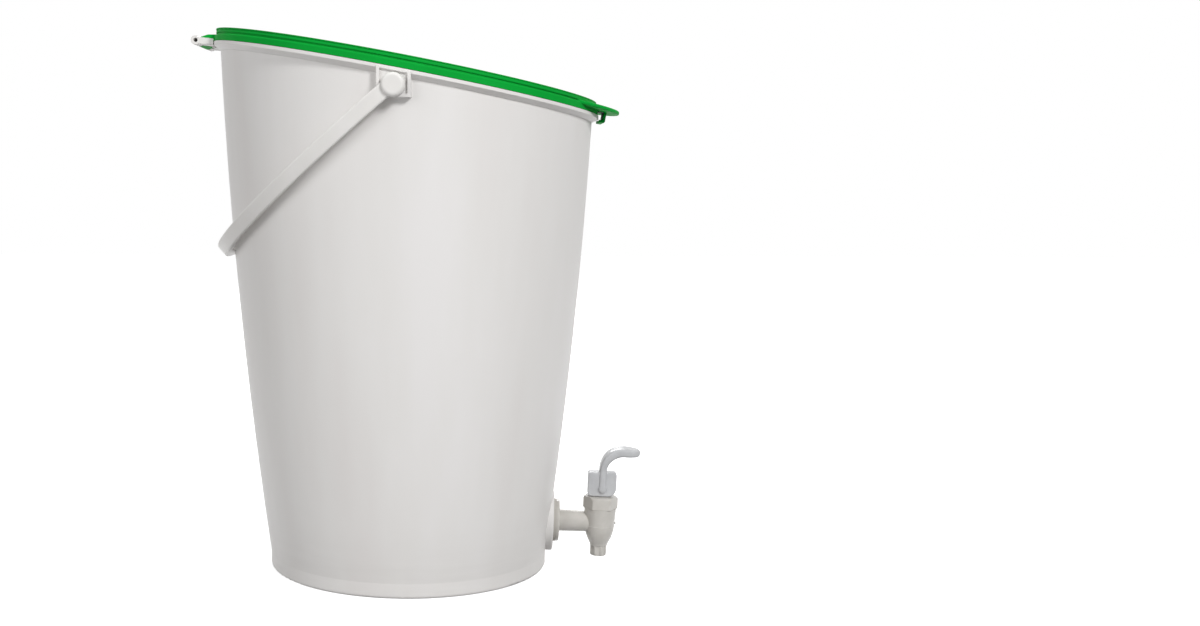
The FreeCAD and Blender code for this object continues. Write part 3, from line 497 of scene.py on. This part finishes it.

# The spring is drawn at full length, with its top turn held under the bonnet's roof; the real one
# shortens by the stem's travel.
SPRING_LOW_UP = -31.1
SPRING_TOP_UP = -8.6
SPRING_R = 4.9
WIRE_R = 0.45
SPRING_TURNS = 7
TURN_STEPS = 40
WIRE_SIDES = 10
spring_len = SPRING_TOP_UP - SPRING_LOW_UP
coil = []
for i in range(SPRING_TURNS * TURN_STEPS + 1):
    share = i / (SPRING_TURNS * TURN_STEPS)
    up = SPRING_LOW_UP + WIRE_R + (spring_len - 2 * WIRE_R) * share
    coil.append(round_ring(SPRING_R, 2 * math.pi * i / TURN_STEPS, up, WIRE_R, WIRE_SIDES))
spring = lofted("tap_return_spring", coil, "bucket", stainless_wire)
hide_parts("tap_spring")
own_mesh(spring)


# Surround. A white studio tent: the eye and the reflections see plain white, and all other rays
# get a dimmer, even light.

def seen_directly(tree):
    """One for the camera's, the mirrored and the refracted rays, and nothing for the others."""
    path = add(tree, "ShaderNodeLightPath")
    first = add(tree, "ShaderNodeMath", {"operation": "MAXIMUM"},
                i0=path.outputs["Is Camera Ray"], i1=path.outputs["Is Glossy Ray"])
    return add(tree, "ShaderNodeMath", {"operation": "MAXIMUM"}, i0=first.outputs["Value"],
               i1=path.outputs["Is Transmission Ray"]).outputs["Value"]


AMBIENT = 0.33
scene = bpy.context.scene
scene.view_settings.view_transform = "Standard"
world = bpy.data.worlds.new("studio_tent")
scene.world = world
world.use_nodes = True
world.node_tree.nodes.clear()
tree = world.node_tree
dim = add(tree, "ShaderNodeBackground", Color=(1, 1, 1, 1), Strength=AMBIENT)
bright = add(tree, "ShaderNodeBackground", Color=(1, 1, 1, 1), Strength=1.0)
mixed = add(tree, "ShaderNodeMixShader", i0=seen_directly(tree), i1=dim.outputs["Background"],
            i2=bright.outputs["Background"])
add(tree, "ShaderNodeOutputWorld", Surface=mixed.outputs["Shader"])

# Floor. Paper that reaches past the view. The eye sees it white and a little lifted, so that it
# is plain white where no shadow falls, and the object gets the bounce of a greyer floor.
FLOOR_M = 8
FIBRE_MM = 2.5
PAPER_LIFT = 0.67
bpy.ops.mesh.primitive_grid_add(x_subdivisions=8, y_subdivisions=8, size=FLOOR_M)
floor = bpy.context.object
floor.name = "floor"
floor_paper, output = new_material("floor_paper_white")
tree = floor_paper.node_tree
place = add(tree, "ShaderNodeTexCoord").outputs["Object"]
fibres = add(tree, "ShaderNodeTexNoise", Vector=place, Scale=1000 / FIBRE_MM)
tone = add(tree, "ShaderNodeMix", {"data_type": "RGBA"}, i0=fibres.outputs["Fac"],
           i6=linear("#F6F6F6"), i7=linear("#FAFAFA"))
paper = add(tree, "ShaderNodeBsdfDiffuse", Color=tone.outputs[2])
greyer = add(tree, "ShaderNodeMix", {"data_type": "RGBA"}, i0=fibres.outputs["Fac"],
             i6=linear("#929292"), i7=linear("#9A9A9A"))
bounce = add(tree, "ShaderNodeBsdfDiffuse", Color=greyer.outputs[2])
lift = add(tree, "ShaderNodeEmission", Color=(1, 1, 1, 1), Strength=PAPER_LIFT)
lifted = add(tree, "ShaderNodeAddShader", i0=paper.outputs["BSDF"], i1=lift.outputs["Emission"])
shown = add(tree, "ShaderNodeMixShader", i0=seen_directly(tree), i1=bounce.outputs["BSDF"],
            i2=lifted.outputs["Shader"])
tree.links.new(shown.outputs["Shader"], output.inputs["Surface"])
floor.data.materials.append(floor_paper)


# Lamps. A soft lamp stands high at the front right, so that the handle's shadow falls just below
# it, and a weaker one low at the front left. A third hangs over the bucket, and a fourth stands
# behind it for the views from there.

BUCKET_MIDDLE = Vector((0, 0, 0.2))


def soft_light(name, size, power, spot):
    """A large square lamp at a spot, facing the bucket's middle."""
    data = bpy.data.lights.new(name, "AREA")
    data.shape = "SQUARE"
    data.size = size
    data.energy = power
    lamp = bpy.data.objects.new(name, data)
    bpy.context.scene.collection.objects.link(lamp)
    lamp.location = spot
    aim = BUCKET_MIDDLE - lamp.location
    lamp.rotation_euler = aim.to_track_quat("-Z", "Y").to_euler()


soft_light("key_tent", 0.7, 72, (1.7, -2.42, 2.0))
soft_light("fill_tent", 1.2, 15, (-1.3, -1.8, 0.8))
soft_light("top_tent", 1.0, 13, (-0.1, -0.1, 2.4))
soft_light("back_tent", 1.0, 24, (-0.15, 2.2, 1.3))


# Camera. It stands about a metre off, a little to the right of the bucket's side and above its
# middle, and looks down by a few degrees. The shift puts the bucket in the view's left half.
LENS_MM = 42.87
SHIFT = 0.1597
CAMERA_SPOT = (0.0731, -1.0690, 0.2951)
LOOK_DOWN = math.radians(5.62)
LOOK_LEFT = math.radians(3.91)
side_view = bpy.data.cameras.new("side_camera")
side_view.sensor_width = 36
side_view.lens = LENS_MM
side_view.shift_x = SHIFT
side_camera = bpy.data.objects.new("side_camera", side_view)
bpy.context.scene.collection.objects.link(side_camera)
side_camera.location = CAMERA_SPOT
side_camera.rotation_euler = (math.pi / 2 - LOOK_DOWN, 0, LOOK_LEFT)
bpy.context.scene.camera = side_camera
